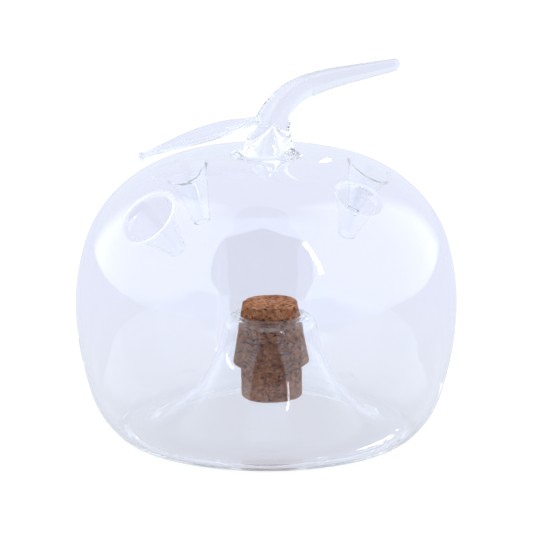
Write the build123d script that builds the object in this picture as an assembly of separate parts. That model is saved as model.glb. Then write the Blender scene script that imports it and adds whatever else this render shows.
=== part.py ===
from build123d import *
import os
from math import acos, cos, degrees, radians, sin, sqrt

os.makedirs("parts", exist_ok=True)

# A wasp trap of clear glass, blown in the shape of an apple. Wasps walk in through four glass
# funnels in its shoulder and can't find the narrow tips again. Bait goes in from below, through
# a bell-shaped well in the base that a cork closes. All sizes are millimetres and degrees.
# The trap stands on z = 0, centred on the Z axis, with its stem bending towards +X and its
# leaf lying towards -X. Azimuths count from the front, -Y, towards +X.

# Bulb: a shell of revolution whose outline is six arcs, each tangent to the next.
# Each angle is that of the outward normal, above or below the horizontal, where an arc ends.
bulb_radius = 75.0
bulb_wall = 2.2
upper_side_radius = 81.0
upper_side_end = 17.4
shoulder_radius = 47.5
shoulder_end = 80.8
lower_side_radius = 110.0
lower_side_end = 17.8
haunch_radius = 37.0
foot_ring_radius = 55.5
foot_ring_section = 5.0
seam_radius = 53.0

# Stopper well: a bell that rises inside the bulb to a beaded lip.
well_offset = 1.4
well_wall = 2.4
well_foot_radius = 50.5
well_flank = [(31.0, 14.0, 44.0), (22.0, 28.5, 68.0), (18.3, 41.5, 84.0)]
well_shoulder_radius = 5.4
well_shoulder_end = 24.0
lip_bead_radius = 0.95
lip_bore_radius = 11.85
lip_height = 46.6

# Entry funnels: azimuth, wall normal at the mouth, tilt of the funnel's axis, mouth radius, length.
funnel_places = {
    "front_left": (-51.0, 46.0, 47.0, 11.2, 21.5),
    "front_right": (45.0, 60.0, 69.0, 8.7, 17.0),
    "back_left": (-147.5, 43.0, 58.0, 8.7, 23.0),
    "back_right": (134.0, 48.0, 58.0, 8.7, 18.5),
}
funnel_tip_radius = 2.8
funnel_wall = 1.0
funnel_collar_wall = 1.2
funnel_collar_depth = 4.2
funnel_flare_depth = 4.0
funnel_throat_share = 0.82

# Stem: a solid rod drawn from the crown, with a hollow peak where the bulb's bubble runs up
# into its foot. It leaves the foot leaning, bends towards +X, flattens and runs out to a
# rounded tip. Each bend is its radius and the lean from upright at its end, and each station
# is a length along the stem's middle line and the stem's radius there.
stem_seat_radius = 13.2
stem_peak_radius = 10.8
stem_peak_height = 122.0
stem_neck_height = 118.0
stem_neck_radius = 8.3
stem_flare_hollow = 1.1
stem_neck_offset = 1.2
stem_start_lean = 8.0
stem_bends = [
    (24.5, 69.0),
    (90.0, 78.0),
]
stem_stations = [
    (0.0, 7.7),
    (4.0, 7.0),
    (9.0, 6.3),
    (17.0, 5.5),
    (25.0, 4.75),
    (33.0, 4.15),
    (43.0, 3.45),
    (51.0, 2.95),
    (59.4, 2.45),
]

# Leaf: pressed flat and fused to the stem by a short thick stalk. Each rib is a share of the
# leaf's length, then the leaf's half width and half thickness there.
leaf_root = (-1.8, 123.9)
leaf_tip = (-48.0, 109.4)
leaf_arch = 1.3
leaf_roll = 7.0
leaf_ribs = [
    (0.0, 2.6, 1.9),
    (0.12, 4.4, 1.25),
    (0.28, 8.2, 1.05),
    (0.46, 9.4, 1.0),
    (0.64, 8.2, 0.95),
    (0.82, 4.8, 0.85),
    (1.0, 1.3, 0.8),
]
leaf_bead_radius = 1.55

# Cork: a conical plug and, glued under it, a straight grip to pull it out by. Both lean a
# little in the well's lip.
cork_lean = 1.3
plug_top_radius = 10.75
plug_wide_radius = 15.0
plug_foot_radius = 12.5
plug_top_height = 51.4
plug_wide_height = 27.4
plug_foot_height = 25.7
plug_edge = 0.6
grip_radius = 12.0
grip_foot_height = 13.0
grip_edge = 1.5

FULL_TURN = 360.0
LEVEL = 90.0


def on_section(radius, height):
    """A point of a turned section, which lies in the XZ plane."""
    return Vector(radius, 0, height)


def arc_point(start, radius, from_angle, angle):
    """The point where an arc's normal has turned from one angle to another."""
    across = radius * (cos(radians(angle)) - cos(radians(from_angle)))
    up = radius * (sin(radians(angle)) - sin(radians(from_angle)))
    return start + on_section(across, up)


def arc_run(start, turns):
    """Tangent arcs, each turn given as its radius, first angle and last angle."""
    edges = []
    point = start
    for radius, first, last in turns:
        middle = arc_point(point, radius, first, (first + last) / 2)
        end = arc_point(point, radius, first, last)
        edges.append(ThreePointArc(point, middle, end))
        point = end
    return edges, point


def crown_radius():
    """The crown's arc closes on the axis."""
    side = bulb_radius - upper_side_radius * (1 - cos(radians(upper_side_end)))
    shoulder = shoulder_radius * (cos(radians(upper_side_end)) - cos(radians(shoulder_end)))
    return (side - shoulder) / cos(radians(shoulder_end))


def haunch_end():
    """The angle at which the haunch hands over to the ring that the bulb stands on."""
    side = bulb_radius - lower_side_radius * (1 - cos(radians(lower_side_end)))
    reach = foot_ring_radius - side + haunch_radius * cos(radians(lower_side_end))
    return degrees(acos(reach / (haunch_radius - foot_ring_section)))


def equator_height():
    """The bulb's widest circle, as high as its lower arcs reach."""
    side = lower_side_radius * sin(radians(lower_side_end))
    haunch = haunch_radius * (sin(radians(haunch_end())) - sin(radians(lower_side_end)))
    ring = foot_ring_section * (1 - sin(radians(haunch_end())))
    return side + haunch + ring


def bulb_half_outline(depth, crown_hole):
    """The bulb's outline at a depth inside its outer face, from the crown's hole to the seam."""
    equator = on_section(bulb_radius - depth, equator_height())
    crown_end = degrees(acos(crown_hole / (crown_radius() - depth)))
    upper = [
        (upper_side_radius - depth, 0, upper_side_end),
        (shoulder_radius - depth, upper_side_end, shoulder_end),
        (crown_radius() - depth, shoulder_end, crown_end),
    ]
    lower = [
        (lower_side_radius - depth, 0, -lower_side_end),
        (haunch_radius - depth, -lower_side_end, -haunch_end()),
        (foot_ring_section - depth, -haunch_end(), -LEVEL),
    ]
    upper_edges, top = arc_run(equator, upper)
    lower_edges, bottom = arc_run(equator, lower)
    seam = on_section(seam_radius, bottom.Z)
    return upper_edges + lower_edges + [Line(bottom, seam)], top, seam


def crown_height():
    """The height at which the bulb's outer face would cross the axis."""
    side = upper_side_radius * sin(radians(upper_side_end))
    shoulder = shoulder_radius * (sin(radians(shoulder_end)) - sin(radians(upper_side_end)))
    crown = crown_radius() * (1 - sin(radians(shoulder_end)))
    return equator_height() + side + shoulder + crown


def wall_point(normal_angle):
    """The radius and height of the bulb's shoulder where its normal has a given angle."""
    equator = on_section(bulb_radius, equator_height())
    side_end = arc_point(equator, upper_side_radius, 0, upper_side_end)
    return arc_point(side_end, shoulder_radius, upper_side_end, normal_angle)


def make_bulb_shell():
    """The bulb with a hole at its crown for the stem and one in its base for the well."""
    outer, outer_top, outer_seam = bulb_half_outline(0.0, stem_seat_radius)
    inner, inner_top, inner_seam = bulb_half_outline(bulb_wall, stem_peak_radius)
    ends = [Line(outer_top, inner_top), Line(outer_seam, inner_seam)]
    return revolve(make_face(outer + inner + ends), Axis.Z, FULL_TURN)


def make_bulb_filled():
    """The bulb's outer form as if it were solid, to trim the funnels to its surface."""
    outer, outer_top, outer_seam = bulb_half_outline(0.0, stem_seat_radius)
    foot = on_section(0, outer_seam.Z)
    top = on_section(0, outer_top.Z)
    closing = [Line(outer_top, top), Line(top, foot), Line(foot, outer_seam)]
    return revolve(make_face(outer + closing), Axis.Z, FULL_TURN)


def funnel_plane(azimuth, normal_angle, tilt):
    """A plane at the mouth's centre on the wall, with its Z axis pointing out of the mouth."""
    wall = wall_point(normal_angle)
    heading = Vector(sin(radians(azimuth)), -cos(radians(azimuth)), 0)
    centre = heading * wall.X + Vector(0, 0, wall.Z)
    outward = heading * cos(radians(tilt)) + Vector(0, 0, sin(radians(tilt)))
    return Plane(origin=centre, z_dir=outward)


def funnel_form(mouth_radius, length):
    """A funnel as if it were solid, with its axis along Z and its mouth at z = 0."""
    collar_radius = mouth_radius + funnel_collar_wall
    neck_radius = funnel_throat_share * mouth_radius + funnel_wall
    tip_radius = funnel_tip_radius + funnel_wall
    outline = Polyline(
        on_section(0, funnel_collar_depth),
        on_section(collar_radius, funnel_collar_depth),
        on_section(collar_radius, -funnel_collar_depth),
        on_section(neck_radius, -funnel_flare_depth - funnel_wall),
        on_section(tip_radius, -length),
        on_section(0, -length),
        on_section(0, funnel_collar_depth),
    )
    return revolve(make_face(outline.edges()), Axis.Z, FULL_TURN)


def funnel_passage(mouth_radius, length):
    """The way through a funnel: a cone that flares out at the mouth."""
    tip = on_section(funnel_tip_radius, -length)
    throat = on_section(funnel_throat_share * mouth_radius, -funnel_flare_depth)
    mouth = on_section(mouth_radius, 0)
    outside = on_section(mouth_radius, funnel_collar_depth)
    flare = TangentArc(throat, mouth, tangent=throat - tip)
    axis_ends = [on_section(0, funnel_collar_depth), on_section(0, -length)]
    closing = Polyline(mouth, outside, axis_ends[0], axis_ends[1], tip, throat)
    return revolve(make_face([flare] + closing.edges()), Axis.Z, FULL_TURN)


def make_entry_funnel(place, bulb_filled):
    """One funnel, cut flush with the bulb's outer face."""
    azimuth, normal_angle, tilt, mouth_radius, length = place
    funnel = funnel_form(mouth_radius, length) - funnel_passage(mouth_radius, length)
    return funnel_plane(azimuth, normal_angle, tilt) * funnel & bulb_filled


def funnel_hole(place):
    """What a funnel takes up of the bulb's wall."""
    azimuth, normal_angle, tilt, mouth_radius, length = place
    return funnel_plane(azimuth, normal_angle, tilt) * funnel_form(mouth_radius, length)


def make_apple_bulb():
    """The blown bulb, pierced for its funnels."""
    bulb = make_bulb_shell()
    for place in funnel_places.values():
        bulb = bulb - funnel_hole(place)
    return bulb


def shifted(radius, height, slope, depth):
    """A point of the well's flank, moved at right angles to it into the recess below."""
    across = radius - depth * sin(radians(slope))
    return on_section(across, height - depth * cos(radians(slope)))


def slope_vector(slope):
    """The way the flank climbs, towards the axis."""
    return Vector(-cos(radians(slope)), 0, sin(radians(slope)))


def well_side(depth, foot_height):
    """One face of the well, from its flat foot to the end of its rounded shoulder."""
    seam = on_section(seam_radius + 2 * well_offset, foot_height)
    foot = on_section(well_foot_radius, foot_height)
    flank = [shifted(radius, height, slope, depth) for radius, height, slope in well_flank]
    last_slope = well_flank[-1][2]
    climb = Spline([foot] + flank, tangents=[slope_vector(0), slope_vector(last_slope)])
    turn = (well_shoulder_radius - depth, LEVEL - last_slope, LEVEL - well_shoulder_end)
    shoulder, end = arc_run(flank[-1], [turn])
    return [Line(seam, foot), climb] + shoulder, seam, end


def make_stopper_well():
    """The bell and its beaded lip, trimmed to the bulb's seam."""
    cavity_side, cavity_seam, cavity_end = well_side(0.0, bulb_wall)
    recess_side, recess_seam, recess_end = well_side(well_wall, 0.0)
    bead_middle = on_section(lip_bore_radius + lip_bead_radius, lip_height - lip_bead_radius)
    bead_outer = bead_middle + on_section(lip_bead_radius, 0)
    bead_inner = bead_middle - on_section(lip_bead_radius, 0)
    bead_top = bead_middle + on_section(0, lip_bead_radius)
    rim = [
        Line(cavity_end, bead_outer),
        ThreePointArc(bead_outer, bead_top, bead_inner),
        Line(bead_inner, recess_end),
    ]
    ends = [Line(cavity_seam, recess_seam)]
    bell = revolve(make_face(cavity_side + rim + recess_side + ends), Axis.Z, FULL_TURN)
    trimmer = Cylinder(seam_radius, lip_height, align=(Align.CENTER, Align.CENTER, Align.MIN))
    return Pos(well_offset, 0, 0) * bell & trimmer


def crown_point(radius, depth):
    """A point of the crown at a depth inside the bulb's outer face."""
    drop = crown_radius() - sqrt((crown_radius() - depth) ** 2 - radius**2)
    return on_section(radius, crown_height() - drop)


def make_stem_foot():
    """The flared foot that sits on the rim of the hole at the bulb's crown."""
    seat = crown_point(stem_seat_radius, 0.0)
    rim = crown_point(stem_peak_radius, bulb_wall)
    neck = on_section(stem_neck_radius, stem_neck_height)
    hollow = on_section(-stem_flare_hollow, -stem_flare_hollow)
    flare = ThreePointArc(seat, (seat + neck) / 2 + hollow, neck)
    neck_middle = on_section(0, neck.Z)
    rim_middle = on_section(0, rim.Z)
    rest = Polyline(neck, neck_middle, rim_middle, rim, seat)
    return revolve(make_face([flare] + rest.edges()), Axis.Z, FULL_TURN)


def make_stem_peak():
    """The pointed top of the bulb's bubble, which is left out of the stem's foot."""
    rim = crown_point(stem_peak_radius, bulb_wall)
    peak = on_section(0, stem_peak_height)
    outline = Polyline(peak, rim, on_section(0, rim.Z), peak)
    return revolve(make_face(outline.edges()), Axis.Z, FULL_TURN)


def stem_plane(length):
    """A plane across the stem at a length along its middle line."""
    middle = Vector(stem_neck_offset, 0, stem_neck_height)
    lean = stem_start_lean
    left = length
    for radius, end_lean in stem_bends:
        bend_length = radius * radians(end_lean - lean)
        turned = lean + min(left / bend_length, 1) * (end_lean - lean)
        across = radius * (cos(radians(lean)) - cos(radians(turned)))
        up = radius * (sin(radians(turned)) - sin(radians(lean)))
        middle = middle + Vector(across, 0, up)
        lean = turned
        left = max(left - bend_length, 0)
    heading = Vector(sin(radians(lean)), 0, cos(radians(lean)))
    return Plane(origin=middle + heading * left, z_dir=heading)


def make_stem():
    """The foot, the tapering rod and its rounded tip."""
    sections = [stem_plane(length) * Circle(radius) for length, radius in stem_stations]
    tip_length, tip_radius = stem_stations[-1]
    tip = stem_plane(tip_length) * Sphere(tip_radius)
    return make_stem_foot() + loft(sections) + tip - make_stem_peak()


def leaf_plane(share):
    """A plane across the leaf, at a share of its length from the root."""
    root = Vector(leaf_root[0], 0, leaf_root[1])
    tip = Vector(leaf_tip[0], 0, leaf_tip[1])
    run = tip - root
    arch = Vector(0, 0, 4 * leaf_arch * share * (1 - share))
    heading = run + Vector(0, 0, 4 * leaf_arch * (1 - 2 * share))
    side = Vector(0, cos(radians(leaf_roll)), sin(radians(leaf_roll)))
    return Plane(origin=root + run * share + arch, x_dir=side, z_dir=heading)


def make_leaf(stem):
    """The blade, a lens in section, with a bead at its tip."""
    sections = [leaf_plane(share) * Ellipse(wide, thick) for share, wide, thick in leaf_ribs]
    bead = leaf_plane(1.0) * Sphere(leaf_bead_radius)
    return loft(sections) + bead - stem


def leaned(solid):
    """A cork piece, leaned about the middle of the well's lip."""
    hinge = Pos(well_offset, 0, lip_height)
    return hinge * Rot(0, -cork_lean, 0) * hinge.inverse() * solid


def make_cork_plug():
    """The cone that the lip grips, with its lower corner cut back."""
    outline = Polyline(
        (0, 0, plug_top_height),
        (plug_top_radius, 0, plug_top_height),
        (plug_wide_radius, 0, plug_wide_height),
        (plug_foot_radius, 0, plug_foot_height),
        (0, 0, plug_foot_height),
        (0, 0, plug_top_height),
    )
    plug = revolve(make_face(outline.edges()), Axis.Z, FULL_TURN)
    top_edge = plug.edges().group_by(Axis.Z)[-1]
    return leaned(Pos(well_offset, 0, 0) * fillet(top_edge, plug_edge))


def make_cork_grip():
    """The straight piece under the plug, with a rounded lower edge."""
    height = plug_foot_height - grip_foot_height
    grip = Cylinder(grip_radius, height, align=(Align.CENTER, Align.CENTER, Align.MIN))
    foot_edge = grip.edges().group_by(Axis.Z)[0]
    return leaned(Pos(well_offset, 0, grip_foot_height) * fillet(foot_edge, grip_edge))


stem = make_stem()
bulb_filled = make_bulb_filled()
sub_parts = {
    "apple_bulb": make_apple_bulb(),
    "stopper_well": make_stopper_well(),
    "stem": stem,
    "leaf": make_leaf(stem),
    "cork_plug": make_cork_plug(),
    "cork_grip": make_cork_grip(),
}
for corner, place in funnel_places.items():
    sub_parts["entry_funnel_" + corner] = make_entry_funnel(place, bulb_filled)

for node, solid in sub_parts.items():
    export_step(solid, os.path.join("parts", node + ".step"))
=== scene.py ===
from collections import namedtuple
from math import acos, cos, pi, radians, sin

import bmesh
import bpy
import numpy as np
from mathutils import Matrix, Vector, noise

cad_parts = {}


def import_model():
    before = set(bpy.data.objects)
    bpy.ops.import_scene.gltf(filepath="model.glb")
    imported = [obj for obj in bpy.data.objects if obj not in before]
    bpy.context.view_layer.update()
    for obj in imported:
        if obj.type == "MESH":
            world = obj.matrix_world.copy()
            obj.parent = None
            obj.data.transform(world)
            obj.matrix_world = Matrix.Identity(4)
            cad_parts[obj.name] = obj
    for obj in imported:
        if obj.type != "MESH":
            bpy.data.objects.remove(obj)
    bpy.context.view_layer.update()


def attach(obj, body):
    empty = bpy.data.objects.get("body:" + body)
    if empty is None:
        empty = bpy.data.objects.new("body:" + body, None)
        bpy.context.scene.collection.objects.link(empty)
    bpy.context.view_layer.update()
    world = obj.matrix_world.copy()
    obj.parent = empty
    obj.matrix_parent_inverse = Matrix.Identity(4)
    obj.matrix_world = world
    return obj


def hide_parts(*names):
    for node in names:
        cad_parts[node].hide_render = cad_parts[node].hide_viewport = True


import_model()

# The trap's visual model. The shapes are worked out in millimetres, as the CAD model's are,
# and become metres where a mesh is made. Azimuths are in degrees from the front, -Y, towards +X.
# The bulb, funnels, well and stem are one closed skin, because they are fused in the real trap.
MM = 0.001
QUARTER = pi / 2

# Bulb, from its foot ring up: the radius of each tangent arc and the angle of the outward
# normal above or below the horizontal where it ends.
BULB_RADIUS = 75.0
UPPER_SIDE = (81.0, 17.4)
SHOULDER = (47.5, 80.8)
LOWER_SIDE = (110.0, 17.8)
HAUNCH_RADIUS = 37.0
FOOT_RING = (55.5, 5.0)
BULB_COLUMNS = 180
BULB_ROW = 2.2

# The wall is thick at the foot and thinner above it, where it was blown out. The change runs
# between two lengths along the outline, counted from the bottom of the foot ring.
BULB_WALL = 2.2
CROWN_WALL = 1.0
THIN_GLASS = (-5.7116, 5.0658)

# Unevenness: waves with a height, turns round the axis, radians per millimetre up, and a phase.
# It is centred on a depth inside the outline, and fades in between two places at each edge.
SWELL_WAVES = [(0.30, 2, 0.010, 0.9), (0.16, 3, 0.030, -0.4), (0.05, 7, 0.11, 0.0), (0.04, 2, 0.21, 0.0)]
SWELL_INSET = 0.45
SWELL_CENTRE = 55.0
SWELL_FOOT_FADE = (4.0, 24.0)
SWELL_AXIS_FADE = (24.0, 40.0)
SWELL_CROWN_FADE = (118.0, 110.0)

Funnel = namedtuple("Funnel", "azimuth wall_normal tilt mouth_radius length")
FUNNELS = {
    "entry_funnel_front_left": Funnel(-51.0, 46.0, 47.0, 11.2, 21.5),
    "entry_funnel_front_right": Funnel(45.0, 60.0, 69.0, 8.7, 17.0),
    "entry_funnel_back_left": Funnel(-147.5, 43.0, 58.0, 8.7, 23.0),
    "entry_funnel_back_right": Funnel(134.0, 48.0, 58.0, 8.7, 18.5),
}
FUNNEL_WALL = 0.7
FUNNEL_TIP_RADIUS = 2.8
FUNNEL_TIP_BEAD = 1.25
THROAT_DEPTH = 4.5
THROAT_SHARE = 0.80
FLARE_PULL = 0.42
# how far past the mouth's radius the flare starts, and the patch of wall that goes with it
FLARE_REACH = 2.4
PATCH_REACH = 6.0
WINDOW_MARGIN = 1.5
PATCH_ROWS = 5
SURFACE_ROWS = 8
FLARE_ROWS = 12
CONE_ROWS = 14
TIP_ROWS = 7

# Stopper well: radius, height and slope along the face towards the cavity.
WELL_OFFSET = 1.4
WELL_OFFSET_RISE = 12.0
WELL_WALL = 1.7
WELL_FOOT_RADIUS = 50.5
WELL_FLANK = [(31.0, 14.0, 44.0), (22.0, 28.5, 68.0), (18.3, 41.5, 84.0)]
WELL_SHOULDER_RADIUS = 5.4
WELL_SHOULDER_END = 24.0
LIP_BEAD_RADIUS = 0.95
LIP_BORE_RADIUS = 11.85
LIP_HEIGHT = 46.6
LIP_TURN = (215.0, -35.0)
WELL_FOOT_ROWS = 3
WELL_FLANK_ROWS = 14
WELL_SHOULDER_ROWS = 10
LIP_ROWS = 15

# Stem: the bends of its middle line, as a radius and the lean where each ends, then lengths
# along it with the radius there.
STEM_SEAT_RADIUS = 13.2
STEM_NECK_HEIGHT = 118.0
STEM_NECK_RADIUS = 8.3
STEM_NECK_OFFSET = 1.2
STEM_START_LEAN = 8.0
STEM_BENDS = [(24.5, 69.0), (90.0, 78.0)]
STEM_STATIONS = [
    (0, 7.7), (4, 7.0), (9, 6.3), (17, 5.5), (25, 4.75), (33, 4.15), (43, 3.45), (51, 2.95), (59.4, 2.45),
]
STEM_FLARE_PULLS = ((-2.6, 0.5), (0.55, -2.6))
WELD_GROOVE = 0.35
WELD_LENGTH = 4.0
STEM_FIRST_RING = 0.8
STEM_FLARE_ROWS = 13
STEM_ROWS = 56
STEM_TIP_ROWS = 7

# The hollow in the stem's foot: the height and tip of its point, the radius where it leaves the
# crown, and two handles that its side is drawn by. The first is a radius and a rise in
# millimetres, the second a radius and a share of the height.
HOLLOW_PEAK = 122.0
HOLLOW_BASE_RADIUS = 12.8
HOLLOW_SHOULDER = (8.2, 0.9)
HOLLOW_WAIST = (2.4, 0.52)
HOLLOW_POINT_RADIUS = 0.06
HOLLOW_LEAN = 2.4
HOLLOW_ROWS = 26

# Leaf: a share of its length, then its half width and half thickness there. The ridges are a
# midrib's height and width, and streaks with a height, a count, and a sway and a phase.
LEAF_ROOT = (-1.8, 123.9)
LEAF_TIP = (-48.0, 109.4)
LEAF_ARCH = 1.3
LEAF_ROLL = 7.0
LEAF_RIBS = [
    (0, 2.6, 1.9), (0.12, 4.4, 1.25), (0.28, 8.2, 1.05), (0.46, 9.4, 1.0), (0.64, 8.2, 0.95),
    (0.82, 4.8, 0.85), (1, 1.3, 0.8),
]
LEAF_FULLNESS = 0.75
LEAF_MIDRIB = (0.22, 0.10)
Streak = namedtuple("Streak", "height count sway sway_rate sway_phase phase")
LEAF_STREAKS = [Streak(0.11, 6.5, 1.3, 2.6, 0.0, 0.6), Streak(0.03, 13.0, 1.7, 4.1, 0.8, 0.0)]
RIDGE_FULLNESS = 0.6
RIDGE_FADES = (0.15, 0.12)
LEAF_BEAD_RADIUS = 1.65
LEAF_BEAD_TURN = (0.7, pi - 0.15)
LEAF_COLUMNS = 96
LEAF_ROWS = 90
LEAF_BEAD_ROWS = 16

# Cork: the plug that the lip grips, as radius and height of its corners, and the grip glued
# under it. Corners are rounded from the top down.
CORK_LEAN = 1.3
PLUG_OUTLINE = [(10.75, 51.4), (15.0, 27.4), (12.5, 25.7)]
PLUG_CORNERS = (0.4, 0.7, 0.5)
GRIP_RADIUS = 12.0
GRIP_HEIGHTS = (13.0, 25.7)
GRIP_CORNERS = (0.3, 1.5)
CORNER_POINTS = 5
CORK_COLUMNS = 220
CORK_ROW = 0.36
CORK_AXIS_RADIUS = 0.3
CORK_AXIS_FADE = 0.8
PLUG_SEED, GRIP_SEED = 3.0, 11.0

# The cork's surface lies under its outline by a skin, and deeper in cracks between granules and
# in pits. Granules and pits have a count per millimetre.
CORK_SKIN = 0.10
GRANULE_COUNT = 0.62
CRACK_WIDTH, CRACK_DEPTH = 0.13, 0.14
PIT_COUNT, PIT_LEVEL, PIT_SPAN, PIT_DEPTH = 0.55, 0.34, 0.3, 0.55
PIT_SEED_STEP, PIT_SHIFT = 3, (7, 1)
ROUGH_COUNT, ROUGH_DEPTH = 5.0, 0.05
ROUGH_ROUGHNESS, ROUGH_STEP, ROUGH_OCTAVES = 0.8, 2.0, 3


# ---------------------------------------------------------------- curves

def mix(a, b, share):
    return a + (b - a) * share


def smooth_step(x):
    x = np.clip(x, 0, 1)
    return x * x * (3 - 2 * x)


def fade(value, start, end):
    """Goes from 0 to 1, smoothly, as the value goes from start to end."""
    return smooth_step((value - start) / (end - start))


def unit(v):
    return v / np.linalg.norm(v, axis=-1, keepdims=True)


def bezier(p0, p1, p2, p3, shares):
    """A cubic from p0 to p3, with a row for each share. The ends may be points or whole rings."""
    t = np.reshape(shares, (-1, *[1] * np.ndim(p0)))
    return (1 - t) ** 3 * p0 + 3 * t * (1 - t) ** 2 * p1 + 3 * t * t * (1 - t) * p2 + t**3 * p3


def hermite(start, leaving, end, arriving, t):
    """A smooth curve from start to end, which leaves and arrives in the directions given."""
    return (
        (2 * t**3 - 3 * t**2 + 1) * start
        + (t**3 - 2 * t**2 + t) * leaving
        + (3 * t**2 - 2 * t**3) * end
        + (t**3 - t**2) * arriving
    )


def smooth_table(x, xs, ys):
    """The height at x of a smooth curve through a table."""
    slopes = np.gradient(ys, xs)
    i = int(np.clip(np.searchsorted(xs, x) - 1, 0, len(xs) - 2))
    span = xs[i + 1] - xs[i]
    return hermite(ys[i], slopes[i] * span, ys[i + 1], slopes[i + 1] * span, (x - xs[i]) / span)


def around(radius, height, azimuth):
    """Points at a radius and height about the bulb's axis, in X, Y, Z."""
    x = radius * np.sin(azimuth)
    y = -radius * np.cos(azimuth)
    return np.stack(np.broadcast_arrays(x, y, height), axis=-1)


# ---------------------------------------------------------------- meshes

def make_piece(name, points, faces):
    """A smooth mesh object from points in millimetres, with its faces turned outwards."""
    mesh = bpy.data.meshes.new(name)
    mesh.from_pydata((np.asarray(points) * MM).tolist(), [], faces)
    work = bmesh.new()
    work.from_mesh(mesh)
    bmesh.ops.recalc_face_normals(work, faces=work.faces)
    work.to_mesh(mesh)
    work.free()
    mesh.polygons.foreach_set("use_smooth", [True] * len(mesh.polygons))
    piece = bpy.data.objects.new(name, mesh)
    bpy.context.scene.collection.objects.link(piece)
    return piece


def ring_faces(rings):
    """Quads between successive rings of vertex numbers. Each ring closes on itself."""
    faces = []
    for lower, upper in zip(rings, rings[1:]):
        count = len(lower)
        for k in range(count):
            n = (k + 1) % count
            faces.append((lower[k], lower[n], upper[n], upper[k]))
    return faces


def numbered(rows, columns, first=0):
    """Vertex numbers of a block of rings."""
    return [list(range(first + i * columns, first + (i + 1) * columns)) for i in range(rows)]


def tube_with_ends(rings):
    """Points and faces of a stack of rings, closed at each end by a point at its middle."""
    rows, columns = rings.shape[0], rings.shape[1]
    points = np.concatenate([rings.reshape(-1, 3), [rings[0].mean(0)], [rings[-1].mean(0)]])
    numbers = numbered(rows, columns)
    faces = ring_faces(numbers)
    low, high = rows * columns, rows * columns + 1
    for k in range(columns):
        n = (k + 1) % columns
        faces.append((numbers[0][n], numbers[0][k], low))
        faces.append((numbers[-1][k], numbers[-1][n], high))
    return points, faces


class Skin:
    """Points and faces of one closed surface, added a block of rings at a time."""

    def __init__(self):
        self.points = []
        self.faces = []

    def add(self, rings):
        """Adds a block of rings, and returns its vertex numbers."""
        first = len(self.points)
        rings = np.asarray(rings)
        self.points.extend(rings.reshape(-1, 3))
        return numbered(rings.shape[0], rings.shape[1], first)

    def join(self, *blocks):
        """Faces from each ring to the next, through all the blocks."""
        self.faces += ring_faces([ring for block in blocks for ring in block])

    def close(self, ring):
        """Faces from a ring to a new point at its middle."""
        self.points.append(np.mean([self.points[n] for n in ring], axis=0))
        middle = len(self.points) - 1
        for k in range(len(ring)):
            self.faces.append((ring[k], ring[(k + 1) % len(ring)], middle))


# ---------------------------------------------------------------- the bulb's outline

def outline_arcs():
    """The arcs from the foot ring to the crown: centre, radius, first angle, first length."""
    side = BULB_RADIUS - LOWER_SIDE[0] * (1 - cos(radians(LOWER_SIDE[1])))
    reach = FOOT_RING[0] - side + HAUNCH_RADIUS * cos(radians(LOWER_SIDE[1]))
    haunch_end = acos(reach / (HAUNCH_RADIUS - FOOT_RING[1]))
    upper = BULB_RADIUS - UPPER_SIDE[0] * (1 - cos(radians(UPPER_SIDE[1])))
    upper -= SHOULDER[0] * (cos(radians(UPPER_SIDE[1])) - cos(radians(SHOULDER[1])))
    crown = upper / cos(radians(SHOULDER[1]))
    turns = [
        (FOOT_RING[1], -QUARTER, -haunch_end),
        (HAUNCH_RADIUS, -haunch_end, -radians(LOWER_SIDE[1])),
        (LOWER_SIDE[0], -radians(LOWER_SIDE[1]), 0),
        (UPPER_SIDE[0], 0, radians(UPPER_SIDE[1])),
        (SHOULDER[0], radians(UPPER_SIDE[1]), radians(SHOULDER[1])),
        (crown, radians(SHOULDER[1]), QUARTER),
    ]
    arcs = []
    point = np.array([FOOT_RING[0], 0.0])
    length = 0.0
    for radius, first, last in turns:
        centre = point - radius * np.array([cos(first), sin(first)])
        arcs.append((centre[0], centre[1], radius, first, length))
        point = centre + radius * np.array([cos(last), sin(last)])
        length += radius * (last - first)
    return np.array(arcs)


ARCS = outline_arcs()
SHOULDER_ARC, CROWN_ARC = ARCS[4], ARCS[5]


def wall_point(s, depth=0.0):
    """Radius and height at a length along the outline, at a depth inside the outer face."""
    s = np.asarray(s, float)
    arc = np.clip(np.searchsorted(ARCS[:, 4], s, side="right") - 1, 0, len(ARCS) - 1)
    angle = ARCS[arc, 3] + (s - ARCS[arc, 4]) / ARCS[arc, 2]
    radius = ARCS[arc, 2] - depth
    return ARCS[arc, 0] + radius * np.cos(angle), ARCS[arc, 1] + radius * np.sin(angle)


def bulb_face(s, azimuth, depth=0.0):
    radius, height = wall_point(s, depth)
    return around(radius, height, azimuth)


def wall_depth(s):
    """The wall's thickness at a length along the outline."""
    return mix(BULB_WALL, CROWN_WALL, fade(np.asarray(s, float), *THIN_GLASS))


def crown_length_at(radius):
    """The length along the outline where the crown has a radius."""
    return CROWN_ARC[4] + CROWN_ARC[2] * (acos(radius / CROWN_ARC[2]) - CROWN_ARC[3])


def crown_height_at(radius, depth=0.0):
    return CROWN_ARC[1] + np.sqrt((CROWN_ARC[2] - depth) ** 2 - radius**2)


# ---------------------------------------------------------------- funnels

def mouth_place(funnel):
    """The mouth's middle, as a length along the outline and an azimuth, and the radius there."""
    angle = radians(funnel.wall_normal)
    s = SHOULDER_ARC[4] + SHOULDER_ARC[2] * (angle - SHOULDER_ARC[3])
    return s, radians(funnel.azimuth), float(wall_point(s)[0])


def wall_round_mouth(funnel, reach, theta):
    """Places on the wall at a reach from the mouth's middle: lengths and azimuths."""
    s, phi, wall_radius = mouth_place(funnel)
    return s + reach * np.cos(theta), phi + reach * np.sin(theta) / wall_radius


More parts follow.
